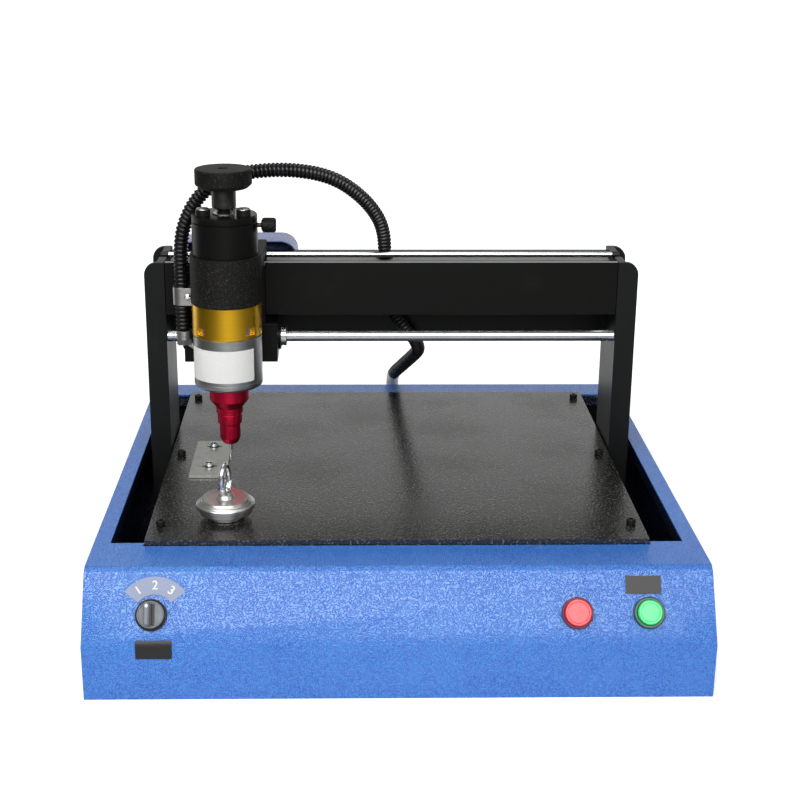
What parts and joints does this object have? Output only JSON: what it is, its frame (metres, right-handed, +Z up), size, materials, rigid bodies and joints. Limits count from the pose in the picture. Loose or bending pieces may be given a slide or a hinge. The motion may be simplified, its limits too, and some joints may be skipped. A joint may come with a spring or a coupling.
{
  "type": "nameplate marking machine",
  "caption": "Table-top marking machine with a bolted work table, a travelling gantry, a sliding marking head and controls on a sloped panel.",
  "frame": {"origin": "bottom centre of the base, on the surface that the machine stands on", "axes": "+Z up, front of the machine towards -Y, +X to the right as seen from the front"},
  "size_m": [0.56, 0.5914, 0.4275],
  "materials": {
    "blue_paint": "orange-peel powder coat",
    "graphite_paint": "satin paint",
    "speckle_paint": "hammertone",
    "black_anodised": "black anodised",
    "rough_black": "sand-blasted black",
    "black_oxide": "black oxide",
    "steel": "ground and polished",
    "nickel": "nickel plated",
    "zinc": "zinc plated",
    "silver_aluminium": "fine turned",
    "gold_anodised": "gold anodised",
    "red_anodised": "red anodised",
    "copper_winding": "enamelled wire",
    "grey_plastic": "fine texture",
    "dark_plastic": "smooth",
    "red_lens": "translucent",
    "maroon_plastic": "smooth",
    "green_lens": "translucent",
    "dark_green_plastic": "smooth",
    "white_film": "matt film",
    "grey_film": "matt film",
    "black_film": "matt film",
    "circuit_case": "moulded",
    "hose_rubber": "glossy corrugated",
    "belt_rubber": "matt"
  },
  "bodies": {
    "base": {"base_shell": "blue_paint", "base_floor": "graphite_paint", "table_frame": "graphite_paint", "table_plate": "speckle_paint", "table_screw_1": "black_oxide", "table_screw_2": "black_oxide", "table_screw_3": "black_oxide", "table_screw_4": "black_oxide", "table_screw_5": "black_oxide", "table_screw_6": "black_oxide", "y_rod_left": "steel", "y_rod_right": "steel", "y_motor": "black_anodised", "control_unit": "circuit_case", "power_inlet": "dark_plastic", "hose_elbow": "zinc", "selector_label": "black_film", "stop_screw_1": "zinc", "stop_screw_2": "zinc", "selector_bezel": "grey_plastic", "red_bezel": "maroon_plastic", "green_bezel": "dark_green_plastic", "selector_scale": "grey_film", "green_label": "black_film"},
    "y_screw": {"y_screw": "steel"},
    "stop_plate": {"stop_plate": "zinc"},
    "magnet": {"magnet": "nickel"},
    "selector": {"selector_knob": "grey_plastic"},
    "red_button": {"red_button": "red_lens"},
    "green_button": {"green_button": "green_lens"},
    "gantry": {"upright_left": "black_anodised", "upright_right": "black_anodised", "front_plate": "black_anodised", "rear_plate": "black_anodised", "upper_rod": "steel", "lower_rod": "steel", "crossbar": "graphite_paint", "motor_cover": "blue_paint", "x_motor": "black_anodised", "x_belt": "belt_rubber", "hose_lower": "hose_rubber"},
    "drive_pulley": {"drive_pulley": "silver_aluminium"},
    "idler_pulley": {"idler_pulley": "silver_aluminium"},
    "carriage": {"carriage_block": "black_anodised", "linear_bush": "steel", "hose_strap": "nickel", "hose_ferrule": "nickel", "head_clamp": "rough_black", "head_tube": "black_anodised", "head_cap": "black_anodised", "hose_upper": "hose_rubber"},
    "lock_screw": {"lock_screw": "rough_black"},
    "head": {"head_ring": "gold_anodised", "head_body": "silver_aluminium", "head_label": "white_film", "head_coil": "copper_winding", "head_nose": "red_anodised"},
    "stylus": {"stylus": "steel"},
    "height_knob": {"height_knob": "black_anodised"}
  },
  "joints": [
    {"name": "gantry_y", "type": "slide", "parent": "base", "child": "gantry", "axis": [0, 1, 0], "range_m": [-0.085, 0.115], "deforming": ["hose_lower"]},
    {"name": "y_screw_turn", "type": "hinge", "parent": "base", "child": "y_screw", "pos_m": [0, 0, 0.057], "axis": [0, 1, 0], "range_deg": [-4150, 3070]},
    {"name": "carriage_x", "type": "slide", "parent": "gantry", "child": "carriage", "axis": [1, 0, 0], "range_m": [-0.001, 0.333], "deforming": ["hose_upper"]},
    {"name": "drive_pulley_turn", "type": "hinge", "parent": "gantry", "child": "drive_pulley", "pos_m": [-0.205, 0.0585, 0.285], "axis": [0, 1, 0], "range_deg": [-10, 1740]},
    {"name": "idler_pulley_turn", "type": "hinge", "parent": "gantry", "child": "idler_pulley", "pos_m": [0.205, 0.0585, 0.285], "axis": [0, 1, 0], "range_deg": [-10, 1740]},
    {"name": "head_height", "type": "slide", "parent": "carriage", "child": "head", "axis": [0, 0, 1], "range_m": [-0.0045, 0]},
    {"name": "knob_turn", "type": "hinge", "parent": "head", "child": "height_knob", "pos_m": [-0.166, -0.015, 0.42], "axis": [0, 0, 1], "range_deg": [0, 1081]},
    {"name": "stylus_stroke", "type": "slide", "parent": "head", "child": "stylus", "axis": [0, 0, 1], "range_m": [-0.003, 0], "stiffness_N_per_m": 700, "springref_m": 0.004},
    {"name": "lock_screw_turn", "type": "hinge", "parent": "carriage", "child": "lock_screw", "pos_m": [-0.12, -0.015, 0.3715], "axis": [1, 0, 0], "range_deg": [-360, 0]},
    {"name": "stop_plate_set", "type": "slide", "parent": "base", "child": "stop_plate", "axis": [1, 0, 0], "range_m": [-0.005, 0.001]},
    {"name": "magnet_set", "type": "slide", "parent": "base", "child": "magnet", "axis": [1, 0, 0], "range_m": [-0.034, 0.354]},
    {"name": "selector_turn", "type": "hinge", "parent": "base", "child": "selector", "pos_m": [-0.219, -0.26495, 0.0752], "axis": [0, -0.8492, 0.5281], "range_deg": [-45, 45]},
    {"name": "red_press", "type": "slide", "parent": "base", "child": "red_button", "axis": [0, 0.8492, -0.5281], "range_m": [0, 0.003], "stiffness_N_per_m": 500, "springref_m": -0.002},
    {"name": "green_press", "type": "slide", "parent": "base", "child": "green_button", "axis": [0, 0.8492, -0.5281], "range_m": [0, 0.003], "stiffness_N_per_m": 500, "springref_m": -0.002}
  ],
  "couplings": [
    {"joint": "y_screw_turn", "follows": "gantry_y", "rad_per_m": -628.32},
    {"joint": "drive_pulley_turn", "follows": "carriage_x", "rad_per_m": 90.909},
    {"joint": "idler_pulley_turn", "follows": "carriage_x", "rad_per_m": 90.909},
    {"joint": "knob_turn", "follows": "head_height", "rad_per_m": -4188.8}
  ]
}
